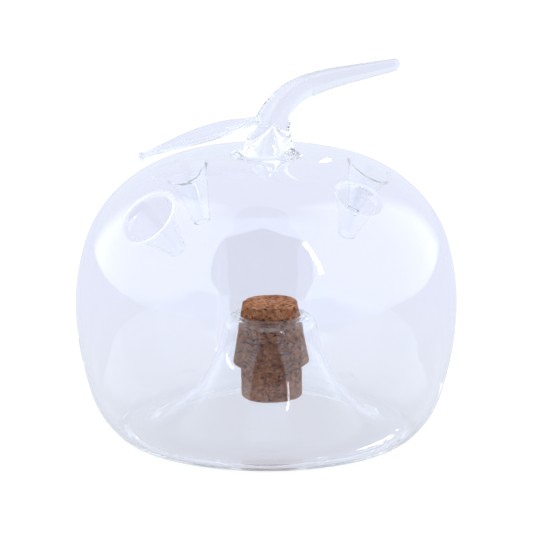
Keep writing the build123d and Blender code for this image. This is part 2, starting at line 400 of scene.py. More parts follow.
def surface_reaches(funnel):
    """The reaches of the rows that lie on the wall, from the patch's edge to the flare."""
    first, last = funnel.mouth_radius + PATCH_REACH, funnel.mouth_radius + FLARE_REACH
    return np.linspace(first, last, SURFACE_ROWS)[:, None]


def funnel_axes(funnel):
    """The funnel's axis, out of the mouth, and the directions across it: up the wall and aside."""
    phi, tilt, normal = radians(funnel.azimuth), radians(funnel.tilt), radians(funnel.wall_normal)
    out = np.array([sin(phi), -cos(phi), 0.0])
    axis = out * cos(tilt) + np.array([0, 0, sin(tilt)])
    climb = -out * sin(normal) + np.array([0, 0, cos(normal)])
    return axis, unit(climb - axis * climb.dot(axis)), np.array([cos(phi), sin(phi), 0.0])


def funnel_passage(funnel, theta):
    """The face of a funnel that a wasp walks on: rows from the bulb's wall, over the flare and
    down the cone to the tip. The columns run round the mouth by theta."""
    axis, up_wall, aside = funnel_axes(funnel)
    s, phi, _ = mouth_place(funnel)
    mouth = bulb_face(s, phi)
    surface = bulb_face(*wall_round_mouth(funnel, surface_reaches(funnel), theta))

    spokes = np.cos(theta)[:, None] * up_wall + np.sin(theta)[:, None] * aside
    throat = mouth - axis * THROAT_DEPTH + spokes * THROAT_SHARE * funnel.mouth_radius
    tip = mouth - axis * funnel.length + spokes * FUNNEL_TIP_RADIUS
    down_cone = unit(tip - throat)
    start = surface[-1]
    inward = unit(start - surface[-2])
    pull = np.linalg.norm(throat - start, axis=-1, keepdims=True) * FLARE_PULL
    steps = np.linspace(0, 1, FLARE_ROWS + 1)[1:]
    flare = bezier(start, start + inward * pull, throat - down_cone * pull, throat, steps)
    shares = np.linspace(0, 1, CONE_ROWS + 1)[1:, None, None]
    return np.concatenate([surface, flare, throat + (tip - throat) * shares])


def funnel_walls(funnel, theta, rows):
    """The wall's thickness in each row of a passage: the bulb's, thinning over the flare."""
    on_bulb = wall_depth(wall_round_mouth(funnel, surface_reaches(funnel), theta)[0])
    thinning = smooth_step(np.arange(1, rows - SURFACE_ROWS + 1) / FLARE_ROWS)[:, None]
    return np.concatenate([on_bulb, mix(on_bulb[-1], FUNNEL_WALL, thinning)])


def funnel_tube(funnel, theta, edge_s, edge_phi):
    """The rings of a funnel, from the edge of its window in the bulb's outer face, over the
    flare, down the passage, round the tip, and back up to the window in the inner face."""
    far_s, far_phi = wall_round_mouth(funnel, funnel.mouth_radius + PATCH_REACH, theta)
    shares = np.linspace(0, 1, PATCH_ROWS + 1)[1:-1, None]
    patch_s = mix(edge_s, far_s, shares)
    patch_phi = mix(edge_phi, far_phi, shares)
    passage = funnel_passage(funnel, theta)

    # the other face lies a wall's thickness behind this one
    down = np.gradient(passage, axis=0)
    across = np.roll(passage, -1, axis=1) - np.roll(passage, 1, axis=1)
    behind = unit(np.cross(down, across))
    if (behind[-1] * (passage[-1] - passage[-1].mean(0))).sum() < 0:
        behind = -behind
    cavity = passage + behind * funnel_walls(funnel, theta, len(passage))[..., None]

    axis = funnel_axes(funnel)[0]
    half = (cavity[-1] - passage[-1]) / 2
    middle = (cavity[-1] + passage[-1]) / 2
    tip = []
    for turn in np.linspace(0, pi, TIP_ROWS + 2)[1:-1]:
        swell = mix(1, FUNNEL_TIP_BEAD, sin(turn))
        tip.append(middle - (half * cos(turn) + axis * FUNNEL_WALL / 2 * sin(turn)) * swell)
    outer_patch = bulb_face(patch_s, patch_phi)
    inner_patch = bulb_face(patch_s, patch_phi, wall_depth(patch_s))
    return np.concatenate([outer_patch, passage, tip, cavity[::-1], inner_patch[::-1]])


# ---------------------------------------------------------------- stopper well

def well_face(depth, foot_height):
    """One face of the well, as radius and height, from the foot ring to its shoulder's end."""
    knots = [(WELL_FOOT_RADIUS, foot_height, 0.0)]
    for radius, height, slope in WELL_FLANK:
        across = depth * sin(radians(slope))
        down = depth * cos(radians(slope))
        knots.append((radius - across, height - down, slope))
    level = np.linspace(FOOT_RING[0], WELL_FOOT_RADIUS, WELL_FOOT_ROWS + 2)[1:-1]
    rows = [np.array([[radius, foot_height] for radius in level])]
    steps = np.linspace(0, 1, WELL_FLANK_ROWS + 1)[:-1, None]
    for (r0, z0, a0), (r1, z1, a1) in zip(knots, knots[1:]):
        start, end = np.array([r0, z0]), np.array([r1, z1])
        pull = np.linalg.norm(end - start)
        leaving = pull * np.array([-cos(radians(a0)), sin(radians(a0))])
        arriving = pull * np.array([-cos(radians(a1)), sin(radians(a1))])
        rows.append(hermite(start, leaving, end, arriving, steps))
    turn = WELL_SHOULDER_RADIUS - depth
    first = radians(90 - WELL_FLANK[-1][2])
    last = radians(90 - WELL_SHOULDER_END)
    centre = np.array(knots[-1][:2]) - turn * np.array([cos(first), sin(first)])
    angles = np.linspace(first, last, WELL_SHOULDER_ROWS)
    rows.append(centre + turn * np.stack([np.cos(angles), np.sin(angles)], axis=1))
    return np.concatenate(rows)


def well_rings(azimuths):
    """The bell, from under the foot ring up the recess, round the lip's bead, and down the side
    towards the cavity. It stands a little off the bulb's axis."""
    cavity = well_face(0.0, BULB_WALL)
    recess = well_face(WELL_WALL, 0.0)
    bead_middle = np.array([LIP_BORE_RADIUS + LIP_BEAD_RADIUS, LIP_HEIGHT - LIP_BEAD_RADIUS])
    angles = np.radians(np.linspace(*LIP_TURN, LIP_ROWS))
    bead = bead_middle + LIP_BEAD_RADIUS * np.stack([np.cos(angles), np.sin(angles)], axis=1)
    loop = np.concatenate([recess, bead, cavity[::-1]])
    rings = around(loop[:, :1], loop[:, 1:], azimuths[None, :])
    rings[..., 0] += WELL_OFFSET * smooth_step((rings[..., 2] - BULB_WALL) / WELL_OFFSET_RISE)
    return rings


# ---------------------------------------------------------------- stem

def stem_middle(length):
    """The stem's middle line: where it is, and which way it heads, at a length along it."""
    middle = np.array([STEM_NECK_OFFSET, 0, STEM_NECK_HEIGHT])
    lean = radians(STEM_START_LEAN)
    for radius, end_lean in STEM_BENDS:
        bend_length = radius * (radians(end_lean) - lean)
        turned = lean + min(length / bend_length, 1) * (radians(end_lean) - lean)
        middle = middle + radius * np.array([cos(lean) - cos(turned), 0, sin(turned) - sin(lean)])
        lean = turned
        length = max(length - bend_length, 0)
    heading = np.array([sin(lean), 0, cos(lean)])
    return middle + heading * length, heading


def stem_ring(length, radius, azimuths):
    middle, heading = stem_middle(length)
    across = np.array([heading[2], 0, -heading[0]])
    towards_back = np.array([0, 1, 0])
    spokes = np.sin(azimuths)[:, None] * across - np.cos(azimuths)[:, None] * towards_back
    return middle + radius * spokes


def rod_radius(length):
    """The rod's radius, widened over the weld so that it meets the neck of the foot."""
    lengths, radii = np.array(STEM_STATIONS, float).T
    weld = STEM_NECK_RADIUS - radii[0] - WELD_GROOVE
    return smooth_table(length, lengths, radii) + weld * (1 - smooth_step(length / WELD_LENGTH))


def stem_rings(azimuths):
    """From the crown up the flare of the foot, along the rod, and round its tip."""
    seat = np.array([STEM_SEAT_RADIUS, crown_height_at(STEM_SEAT_RADIUS)])
    neck = np.array([STEM_NECK_RADIUS, STEM_NECK_HEIGHT])
    leaving, arriving = np.array(STEM_FLARE_PULLS)
    shares = np.linspace(0, 1, STEM_FLARE_ROWS + 1)[1:]
    rings = []
    for share, (radius, height) in zip(shares, bezier(seat, seat + leaving, neck + arriving, neck, shares)):
        # the foot leans with the rod that it runs into, more so toward the neck
        rings.append(around(radius, height, azimuths) + [STEM_NECK_OFFSET * smooth_step(share), 0, 0])
    end, tip_radius = STEM_STATIONS[-1]
    for length in np.linspace(STEM_FIRST_RING, end, STEM_ROWS):
        rings.append(stem_ring(length, rod_radius(length), azimuths))
    for turn in np.linspace(0, QUARTER, STEM_TIP_ROWS + 2)[1:-1]:
        rings.append(stem_ring(end + tip_radius * sin(turn), tip_radius * cos(turn), azimuths))
    return np.array(rings)


def hollow_rings(azimuths):
    """The hollow drawn up into the stem's foot, from the crown's inner face to its point. It
    flares out of the crown like a tent."""
    base = np.array([HOLLOW_BASE_RADIUS, crown_height_at(HOLLOW_BASE_RADIUS, CROWN_WALL)])
    height = HOLLOW_PEAK - base[1]
    shoulder = np.array([HOLLOW_SHOULDER[0], base[1] + HOLLOW_SHOULDER[1]])
    waist = np.array([HOLLOW_WAIST[0], base[1] + HOLLOW_WAIST[1] * height])
    point = np.array([HOLLOW_POINT_RADIUS, HOLLOW_PEAK])
    rings = []
    for radius, level in bezier(base, shoulder, waist, point, np.linspace(0, 1, HOLLOW_ROWS)):
        lean = HOLLOW_LEAN * (level - base[1]) / height
        rings.append(around(radius, level, azimuths) + [lean, 0, 0])
    return np.array(rings)


# ---------------------------------------------------------------- the fused glass

def window_of(funnel, lengths, azimuths):
    """Rows and columns of the bulb's grid that a funnel's patch takes the place of."""
    s, phi, wall_radius = mouth_place(funnel)
    reach = funnel.mouth_radius + PATCH_REACH + WINDOW_MARGIN
    rows = np.flatnonzero(np.abs(lengths - s) < reach)
    columns = np.flatnonzero(np.abs(azimuths - phi) * wall_radius < reach)
    return rows[0] - 1, rows[-1] + 1, columns[0] - 1, columns[-1] + 1


def window_edge(window):
    """The grid's places round a window, in order."""
    low, high, left, right = window
    edge = [(low, j) for j in range(left, right)]
    edge += [(i, right) for i in range(low, high)]
    edge += [(high, j) for j in range(right, left, -1)]
    edge += [(i, left) for i in range(high, low, -1)]
    return edge


def bulb_wall_grid(skin, lengths, azimuths, depth, used, open_cells):
    """One face of the bulb's wall, with its windows left open. Returns the vertex numbers."""
    face = bulb_face(lengths[:, None], azimuths[None, :], depth)
    numbers = np.full(used.shape, -1)
    first = len(skin.points)
    skin.points.extend(face[used])
    numbers[used] = np.arange(first, first + used.sum())
    rows, columns = used.shape
    for i in range(rows - 1):
        for j in range(columns):
            if not open_cells[i, j]:
                n = (j + 1) % columns
                skin.faces.append((numbers[i, j], numbers[i, n], numbers[i + 1, n], numbers[i + 1, j]))
    return numbers


def hand_blown(points):
    """The slow unevenness of glass blown by hand. It fades out at the foot, round the axis and
    under the stem."""
    points = np.asarray(points, float)
    x, y, z = points.T
    azimuth = np.arctan2(x, -y)
    swell = -SWELL_INSET
    for height, turns, climb, phase in SWELL_WAVES:
        swell = swell + height * np.sin(turns * azimuth + climb * z + phase)
    swell *= fade(z, *SWELL_FOOT_FADE) * fade(np.hypot(x, y), *SWELL_AXIS_FADE) * fade(z, *SWELL_CROWN_FADE)
    outward = points - [0, 0, SWELL_CENTRE]
    outward /= np.maximum(np.linalg.norm(outward, axis=1), 1)[:, None]
    return points + outward * swell[:, None]


def make_glass():
    """Everything that is fused: bulb, funnels, stopper well and stem, as one closed skin. It
    runs from the stem's tip over the outer face, up the recess, round the lip, down inside the
    trough, and up the inner face to the hollow in the stem's foot."""
    azimuths = np.linspace(-pi, pi, BULB_COLUMNS, endpoint=False)
    stop = crown_length_at(STEM_SEAT_RADIUS)
    lengths = np.linspace(0, stop, int(stop / BULB_ROW) + 1)
    windows = {name: window_of(funnel, lengths, azimuths) for name, funnel in FUNNELS.items()}
    used = np.ones((len(lengths), BULB_COLUMNS), bool)
    open_cells = np.zeros(used.shape, bool)
    for low, high, left, right in windows.values():
        used[low + 1:high, left + 1:right] = False
        open_cells[low:high, left:right] = True

    skin = Skin()
    outer = bulb_wall_grid(skin, lengths, azimuths, 0.0, used, open_cells)
    inner = bulb_wall_grid(skin, lengths, azimuths, wall_depth(lengths)[:, None], used, open_cells)

    stem = skin.add(stem_rings(azimuths))
    skin.join([list(outer[-1])], stem)
    skin.close(stem[-1])
    well = skin.add(well_rings(azimuths))
    skin.join([list(outer[0])], well, [list(inner[0])])
    hollow = skin.add(hollow_rings(azimuths))
    skin.join([list(inner[-1])], hollow)
    skin.close(hollow[-1])

    for name, funnel in FUNNELS.items():
        edge = window_edge(windows[name])
        s, phi, wall_radius = mouth_place(funnel)
        edge_s = lengths[[i for i, j in edge]]
        edge_phi = azimuths[[j for i, j in edge]]
        theta = np.arctan2((edge_phi - phi) * wall_radius, edge_s - s)
        tube = skin.add(funnel_tube(funnel, theta, edge_s, edge_phi))
        skin.join([[outer[i, j] for i, j in edge]], tube, [[inner[i, j] for i, j in edge]])
    faces = [tuple(int(n) for n in face) for face in skin.faces]
    return make_piece("blown_glass_apple", hand_blown(skin.points), faces)


# ---------------------------------------------------------------- leaf

def upward(direction):
    return direction if direction[2] > 0 else -direction


def bulged(sines, power):
    """The rise of a section round its edge, fuller than a lens as the power gets smaller."""
    return np.sign(sines) * np.abs(sines) ** power


def leaf_ridges(share, across):
    """A low midrib, and drawn streaks that run along the blade."""
    height, width = LEAF_MIDRIB
    lift = height * np.exp(-((across / width) ** 2))
    for streak in LEAF_STREAKS:
        sway = streak.sway * np.sin(streak.sway_rate * share + streak.sway_phase)
        lift = lift + streak.height * np.sin(streak.count * across + sway + streak.phase)
    return lift * smooth_step(share / RIDGE_FADES[0]) * smooth_step((1 - share) / RIDGE_FADES[1])


def make_leaf():
    """The pressed blade, a lens in section, with lengthwise ridges, a stalk and a bead."""
    root = np.array([LEAF_ROOT[0], 0, LEAF_ROOT[1]])
    tip = np.array([LEAF_TIP[0], 0, LEAF_TIP[1]])
    run = tip - root
    shares, widths, thicks = np.array(LEAF_RIBS, float).T
    side = np.array([0, cos(radians(LEAF_ROLL)), sin(radians(LEAF_ROLL))])
    angles = np.linspace(0, 2 * pi, LEAF_COLUMNS, endpoint=False)
    across, rise = np.cos(angles), np.sin(angles)
    rings = []
    for share in np.linspace(0, 1, LEAF_ROWS):
        arch = np.array([0, 0, 4 * LEAF_ARCH * share * (1 - share)])
        heading = unit(run + np.array([0, 0, 4 * LEAF_ARCH * (1 - 2 * share)]))
        up = upward(np.cross(heading, side))
        width = smooth_table(share, shares, widths)
        thick = smooth_table(share, shares, thicks)
        lift = bulged(rise, LEAF_FULLNESS) * thick
        lift = lift + leaf_ridges(share, across) * bulged(rise, RIDGE_FULLNESS)
        rings.append(root + run * share + arch + across[:, None] * width * side + lift[:, None] * up)
    heading = unit(run)
    up = upward(unit(np.cross(heading, side)))
    for turn in np.linspace(*LEAF_BEAD_TURN, LEAF_BEAD_ROWS):
        middle = tip - heading * LEAF_BEAD_RADIUS * cos(turn)
        reach = LEAF_BEAD_RADIUS * sin(turn)
        rings.append(middle + reach * (across[:, None] * side + rise[:, None] * up))
    points, faces = tube_with_ends(np.array(rings))
    return make_piece("leaf_glass", points, faces)


# ---------------------------------------------------------------- cork

def leaned(points):
    """Cork points, leaned about the middle of the well's lip."""
    hinge = np.array([WELL_OFFSET, 0, LIP_HEIGHT])
    a = radians(-CORK_LEAN)
    turn = np.array([[cos(a), 0, sin(a)], [0, 1, 0], [-sin(a), 0, cos(a)]])
    return (points + [WELL_OFFSET, 0, 0] - hinge) @ turn.T + hinge


def cork_depth(point, seed):
    """How far the surface lies under its outline: granules, the cracks between, and pits."""
    p = Vector(point) * GRANULE_COUNT + Vector((seed, 0, 0))
    distances, _ = noise.voronoi(p)
    crack = max(0.0, 1 - (distances[1] - distances[0]) / CRACK_WIDTH)
    rough = noise.fractal(p * ROUGH_COUNT, ROUGH_ROUGHNESS, ROUGH_STEP, ROUGH_OCTAVES) * ROUGH_DEPTH
    pit = noise.noise(Vector(point) * PIT_COUNT + Vector((seed * PIT_SEED_STEP, *PIT_SHIFT)))
    pit = max(0.0, (pit - PIT_LEVEL) / PIT_SPAN)
    return CORK_SKIN + CRACK_DEPTH * crack + PIT_DEPTH * min(pit, 1.0) + rough


def resample(outline):
    """Points about a row apart along an outline, which keep its corners."""
    rows = []
    for a, b in zip(outline, outline[1:]):
        a, b = np.array(a, float), np.array(b, float)
        count = max(int(np.linalg.norm(b - a) / CORK_ROW), 1)
        rows += [mix(a, b, t) for t in np.linspace(0, 1, count, endpoint=False)]
    return np.array(rows + [np.array(outline[-1], float)])


def make_cork(name, outline, seed):
    """A turned cork piece with a worked surface, which stays inside its outline."""
    profile = resample(outline)
    azimuths = np.linspace(0, 2 * pi, CORK_COLUMNS, endpoint=False)
    rings = around(profile[:, :1], profile[:, 1:], azimuths[None, :])
    before = np.roll(profile, 1, axis=0)
    before[0] = profile[0]
    after = np.roll(profile, -1, axis=0)
    after[-1] = profile[-1]
    along = unit(after - before)
    outwards = np.stack([-along[:, 1], along[:, 0]], axis=1)
    normals = around(outwards[:, :1], outwards[:, 1:], azimuths[None, :])
    middle = np.array([0, 0, (profile[:, 1].min() + profile[:, 1].max()) / 2])
    if ((rings - middle) * normals).sum() < 0:
        normals = -normals
    depth = np.array([cork_depth(p, seed) for p in rings.reshape(-1, 3)]).reshape(rings.shape[:2])
    near_axis = smooth_step(profile[:, 0] / CORK_AXIS_FADE)[:, None]
    rings = rings - normals * (depth * near_axis)[..., None]
    points, faces = tube_with_ends(leaned(rings.reshape(-1, 3)).reshape(rings.shape))
    return make_piece(name, points, faces)


def rounded_profile(corners, radii):
    """A profile from the axis through corners, each rounded off by a small arc, to the axis."""
    path = [(0, corners[0][1]), *corners, (0, corners[-1][1])]
    profile = [(CORK_AXIS_RADIUS, corners[0][1])]
    ts = np.linspace(0, 1, CORNER_POINTS)[:, None]
    for before, corner, after, radius in zip(path, path[1:], path[2:], radii):
        a, c, b = (np.array(p, float) for p in (before, corner, after))
        p0, p1 = c + unit(a - c) * radius, c + unit(b - c) * radius
        profile += [tuple(p) for p in (1 - ts) ** 2 * p0 + 2 * ts * (1 - ts) * c + ts**2 * p1]
    return profile + [(CORK_AXIS_RADIUS, corners[-1][1])]


def make_corks():
    low, high = GRIP_HEIGHTS
    plug = rounded_profile(PLUG_OUTLINE, PLUG_CORNERS)
    grip = rounded_profile([(GRIP_RADIUS, high), (GRIP_RADIUS, low)], GRIP_CORNERS)
    return make_cork("cork_plug_detailed", plug, PLUG_SEED), make_cork("cork_grip_detailed", grip, GRIP_SEED)


# ---------------------------------------------------------------- shader nodes

# depths are whole numbers of bounces, so this tells none from one
HALF_A_BOUNCE = 0.5


class Graph:
    """A node tree, with short calls that add nodes to it and return what they give out."""

    def __init__(self, tree):
        self.tree = tree

    def add(self, kind):
        return self.tree.nodes.new("ShaderNode" + kind)

    def put(self, socket, value):
        """Links a socket to another node's output, or gives it a number or a colour."""
        if isinstance(value, bpy.types.NodeSocket):
            self.tree.links.new(value, socket)
        elif socket.type == "RGBA":
            socket.default_value = (*value, 1)
        else:
            socket.default_value = value

    def maths(self, operation, *values):
        node = self.add("Math")
        node.operation = operation
        for socket, value in zip(node.inputs, values):
            self.put(socket, value)
        return node.outputs[0]

    def rise(self, value, start, end, curve="SMOOTHSTEP"):
        """Goes from 0 to 1 as the value goes from start to end."""
        node = self.add("MapRange")
        node.interpolation_type = curve
        node.inputs["From Min"].default_value = start
        node.inputs["From Max"].default_value = end
        self.put(node.inputs["Value"], value)
        return node.outputs[0]

    def blend(self, share, first, second, how="MIX"):
        """A share of the second colour in the first."""
        node = self.add("Mix")
        node.data_type = "RGBA"
        node.blend_type = how
        self.put(node.inputs["Factor"], share)
        self.put(node.inputs["A"], first)
        self.put(node.inputs["B"], second)
        return node.outputs["Result"]

    def product(self, *shares):
        total = shares[0]
        for share in shares[1:]:
            total = self.maths("MULTIPLY", total, share)
        return total

    def split(self, vector):
        """The X, Y and Z of a vector."""
        node = self.add("SeparateXYZ")
        self.put(node.inputs[0], vector)
        return node.outputs["X"], node.outputs["Y"], node.outputs["Z"]

    def reflected(self, path):
        """1 for light that has met a mirror-like or matt face on its way, and 0 for the rest."""
        turns = self.maths("ADD", path.outputs["Glossy Depth"], path.outputs["Diffuse Depth"])
        return self.maths("GREATER_THAN", turns, HALF_A_BOUNCE)

    def bump(self, shader, height, strength, distance):
        node = self.add("Bump")
        node.inputs["Strength"].default_value = strength
        node.inputs["Distance"].default_value = distance
        self.put(node.inputs["Height"], height)
        self.put(shader.inputs["Normal"], node.outputs["Normal"])


# ---------------------------------------------------------------- materials

GLASS_TINT = (0.975, 0.98, 0.995)
LEAF_TINT = (0.95, 0.96, 0.99)
GLASS_IOR = 1.47
RIPPLE_SCALE, RIPPLE_DETAIL = 60, 2
RIPPLE_STRENGTH, RIPPLE_HEIGHT = 0.25, 0.0003

# Cork: brown granules with warped edges, multiplied by fine grain, seams and pits. Noises have
# a scale and a detail, and the seams' also a stretch and a slant in degrees. Ramps have a place
# and a colour. The sides are darker than the top end, below the heights in metres: painted shade,
# as if the top end were lit more than the sides.
CORK_ROUGHNESS = 0.85
CORK_SPECULAR = 0.2
GRANULE_SCALE = 620
GRANULE_COLOUR = [(0.0, (0.40, 0.140, 0.055)), (1.0, (0.76, 0.34, 0.17)), (0.5, (0.56, 0.215, 0.09))]
WARP_REACH = 0.0011
WARP_NOISE = (900, 3)
GRAIN_NOISE = (2600, 5)
GRAIN_COLOUR = [(0.30, (0.62, 0.60, 0.60)), (0.62, (1.12, 1.12, 1.12))]
SEAM_NOISE = (420, 4, (1, 1, 3.2), 38)
SEAM_COLOUR = [(0.36, (0.30, 0.26, 0.26)), (0.46, (1, 1, 1))]
PIT_NOISE = (520, 2)
PIT_COLOUR = [(0.31, (0.10, 0.09, 0.10)), (0.36, (1, 1, 1))]
CORK_END = (0.0500, 0.0508)
CORK_SIDE_PAINTED_SHADE = [(0.0, (0.74, 0.69, 0.65)), (1.0, (1, 1, 1))]
BUMP_NOISE = (1500, 5)
BUMP_STRENGTH, BUMP_HEIGHT = 0.5, 0.0002


def new_material(name):
    material = bpy.data.materials.new(name)
    material.use_nodes = True
    graph = Graph(material.node_tree)
    return material, graph, graph.tree.nodes["Principled BSDF"]


def glass_material(name, tint):
    """Clear blown glass: faintly tinted, with slow ripples in its faces."""
    material, graph, shader = new_material(name)
    shader.inputs["Base Color"].default_value = (*tint, 1)
    shader.inputs["Transmission Weight"].default_value = 1.0
    shader.inputs["Roughness"].default_value = 0.0
    shader.inputs["IOR"].default_value = GLASS_IOR
    ripple = graph.add("TexNoise")
    ripple.inputs["Scale"].default_value = RIPPLE_SCALE
    ripple.inputs["Detail"].default_value = RIPPLE_DETAIL
    graph.put(ripple.inputs["Vector"], graph.add("TexCoord").outputs["Object"])
    graph.bump(shader, ripple.outputs["Fac"], RIPPLE_STRENGTH, RIPPLE_HEIGHT)
    return material


def cork_material():
    """Agglomerated cork: small pressed granules in several browns, with slanting dark seams
    between them and black pits."""
    material, graph, shader = new_material("agglomerated_cork")
    shader.inputs["Roughness"].default_value = CORK_ROUGHNESS
    shader.inputs["Specular IOR Level"].default_value = CORK_SPECULAR
    place = graph.add("TexCoord").outputs["Object"]

    def noise_at(scale, detail, stretch=(1, 1, 1), slant=0.0):
        mapping = graph.add("Mapping")
        mapping.inputs["Rotation"].default_value = (0, radians(slant), 0)
        mapping.inputs["Scale"].default_value = stretch
        graph.put(mapping.inputs["Vector"], place)
        texture = graph.add("TexNoise")
        texture.inputs["Scale"].default_value = scale
        texture.inputs["Detail"].default_value = detail
        graph.put(texture.inputs["Vector"], mapping.outputs["Vector"])
        return texture

    def ramp_of(value, stops):
        """A colour for each value. The first two stops are a new ramp's own, so they come in
        the order of their places, and any further stop is added after them."""
        ramp = graph.add("ValToRGB")
        elements = ramp.color_ramp.elements
        for k, (at, colour) in enumerate(stops):
            element = elements[k] if k < 2 else elements.new(at)
            element.position = at
            element.color = (*colour, 1)
        graph.put(ramp.inputs["Fac"], value)
        return ramp.outputs["Color"]

    warp = graph.add("VectorMath")
    warp.operation = "MULTIPLY_ADD"
    warp.inputs[1].default_value = (WARP_REACH, WARP_REACH, WARP_REACH)
    graph.put(warp.inputs[0], noise_at(*WARP_NOISE).outputs["Color"])
    graph.put(warp.inputs[2], place)
    granules = graph.add("TexVoronoi")
    granules.inputs["Scale"].default_value = GRANULE_SCALE
    graph.put(granules.inputs["Vector"], warp.outputs[0])
    each = graph.add("SeparateColor")
    graph.put(each.inputs["Color"], granules.outputs["Color"])
    colour = ramp_of(each.outputs["Red"], GRANULE_COLOUR)
    for texture, stops in ((GRAIN_NOISE, GRAIN_COLOUR), (SEAM_NOISE, SEAM_COLOUR), (PIT_NOISE, PIT_COLOUR)):
        colour = graph.blend(1.0, colour, ramp_of(noise_at(*texture).outputs["Fac"], stops), "MULTIPLY")
    # painted shade: below the top end the sides are darkened, as if the top were lit more
    height = graph.rise(graph.split(place)[2], *CORK_END, "LINEAR")
    colour = graph.blend(1.0, colour, ramp_of(height, CORK_SIDE_PAINTED_SHADE), "MULTIPLY")
    graph.put(shader.inputs["Base Color"], colour)
    graph.bump(shader, noise_at(*BUMP_NOISE).outputs["Fac"], BUMP_STRENGTH, BUMP_HEIGHT)
    return material


# ---------------------------------------------------------------- table

# Lengths in metres. The column has a sideways shift and a spread per metre towards the viewer.
FLOOR_DROP = 0.0001
FLOOR_RADIUS = 4.0
FLOOR_SIDES = 96
TABLE_SHADE = (0.15, 0.15, 0.15)
# painted shadow: the table glows greyer under and in front of the trap than behind it
TABLE_GLOW_NEAR_PAINTED_SHADOW = (0.62, 0.63, 0.68)
TABLE_GLOW_FAR = (0.645, 0.652, 0.768)
TABLE_NEAR_TO_FAR = (0.0, 0.25)
# painted shade: a dark column on the table in front of the trap, seen only in reflections
TABLE_GLOW_FRONT_PAINTED_SHADE = (0.06, 0.06, 0.07)
TABLE_FRONT = (0.13, 0.16)
TABLE_COLUMN_SHIFT, TABLE_COLUMN_SPREAD = 0.047, 0.36
TABLE_COLUMN_EDGE = (-0.004, 0.004)
WHITE_SHADE = (0.14, 0.14, 0.14)
WHITE_GLOW = (0.92, 0.92, 0.92)


def shade_and_glow(graph, shade, glow):
    """A matt surface that is lit from below as well as from above."""
    matt = graph.add("BsdfDiffuse")
    graph.put(matt.inputs["Color"], shade)
    light = graph.add("Emission")
    graph.put(light.inputs["Color"], glow)
    both = graph.add("AddShader")
    graph.put(both.inputs[0], matt.outputs[0])
    graph.put(both.inputs[1], light.outputs[0])
    return both.outputs[0]


def table_material():
    """White to the eye, and the pale blue of the light tent in the glass. In the glass it is greyer
    under and in front of the trap than behind it, a painted shadow of the trap. Reflections of it are
    dark in a column straight in front of the trap, below the gap between the softboxes: painted shade
    on the table there."""
    material = bpy.data.materials.new("pale_floor")
    material.use_nodes = True
    graph = Graph(material.node_tree)
    graph.tree.nodes.clear()
    path = graph.add("LightPath")
    x, y, _ = graph.split(graph.add("TexCoord").outputs["Object"])
    # painted shadow of the trap: a greyer glow near it, bluer behind it
    tone = graph.blend(graph.rise(y, *TABLE_NEAR_TO_FAR, "LINEAR"), TABLE_GLOW_NEAR_PAINTED_SHADOW, TABLE_GLOW_FAR)
    nearer = graph.maths("MULTIPLY", y, -1.0)
    aside = graph.maths("ABSOLUTE", graph.maths("MULTIPLY_ADD", nearer, TABLE_COLUMN_SHIFT, x))
    past_column = graph.maths("MULTIPLY_ADD", nearer, -TABLE_COLUMN_SPREAD, aside)
    in_column = graph.maths("SUBTRACT", 1.0, graph.rise(past_column, *TABLE_COLUMN_EDGE))
    # painted shade on the table in front of the trap, for reflected light only
    dark = graph.product(graph.rise(nearer, *TABLE_FRONT), in_column, graph.reflected(path))
    table = shade_and_glow(graph, TABLE_SHADE, graph.blend(dark, tone, TABLE_GLOW_FRONT_PAINTED_SHADE))
    choose = graph.add("MixShader")
    graph.put(choose.inputs["Fac"], path.outputs["Is Camera Ray"])
    graph.put(choose.inputs[1], table)
    graph.put(choose.inputs[2], shade_and_glow(graph, WHITE_SHADE, WHITE_GLOW))
    graph.put(graph.add("OutputMaterial").inputs["Surface"], choose.outputs[0])
    return material


def make_stage():
    """A pale translucent table, lit from below."""
    bpy.ops.mesh.primitive_circle_add(
        vertices=FLOOR_SIDES, radius=FLOOR_RADIUS, fill_type="NGON", location=(0, 0, -FLOOR_DROP),
    )
    floor = bpy.context.object
    floor.name = "studio_floor"
    floor.data.materials.append(table_material())


# ---------------------------------------------------------------- light tent

# How bright each part of the tent is, and where it lies as seen from the trap, in degrees of
# azimuth from the front and of elevation.
TENT_FRONT = (1.50, 1.80, 2.05)
TENT_FRONT_LOW = (0.82, 1.00, 1.20)
TENT_BACK = (0.86, 0.90, 1.00)
TENT_TURN = (60.0, 130.0)
EDGE_BLUR = 1.0

# The gap: a half width, and how much wider it is per degree up; the elevation of its top in the
# middle, and how far that falls to the sides; a slanting cut off its low corners.
GAP_COLOUR = (0.15, 0.15, 0.16)
GAP_MIDDLE = -2.7
GAP_BOTTOM = 14.0
GAP_SIDE, GAP_WIDENING = 29.0, 0.25
GAP_TOP, GAP_TOP_FALL = 79.0, 51.3
GAP_CORNER, GAP_CORNER_SLOPE = -21.0, 1.29
GAP_SEEN_INSIDE, GAP_SEEN_BLUR = 52.0, 6.0
COLUMN_SIDE, COLUMN_WIDENING = 20.0, 0.13

# The softboxes start past a frame beside the gap. Their bottom edge is low at the sides, and
# rises towards the gap.
SOFTBOX_COLOUR = (1.72, 1.84, 1.95)
SOFTBOX_FRAME = 3.0
SOFTBOX_BOTTOM, SOFTBOX_BOTTOM_BLUR = -2.5, 4.0
SOFTBOX_RISE, SOFTBOX_RISE_SPREAD = 36.0, 19.0
SOFTBOX_TOP, SOFTBOX_TOP_BLUR = 70.0, 10.0
SOFTBOX_END, SOFTBOX_END_BLUR = 140.0, 8.0

# Light that has passed more faces of glass than this comes from across the trap.
CLEAN_DEPTH = 3.5
FAR_WALL_SHARE = 0.75


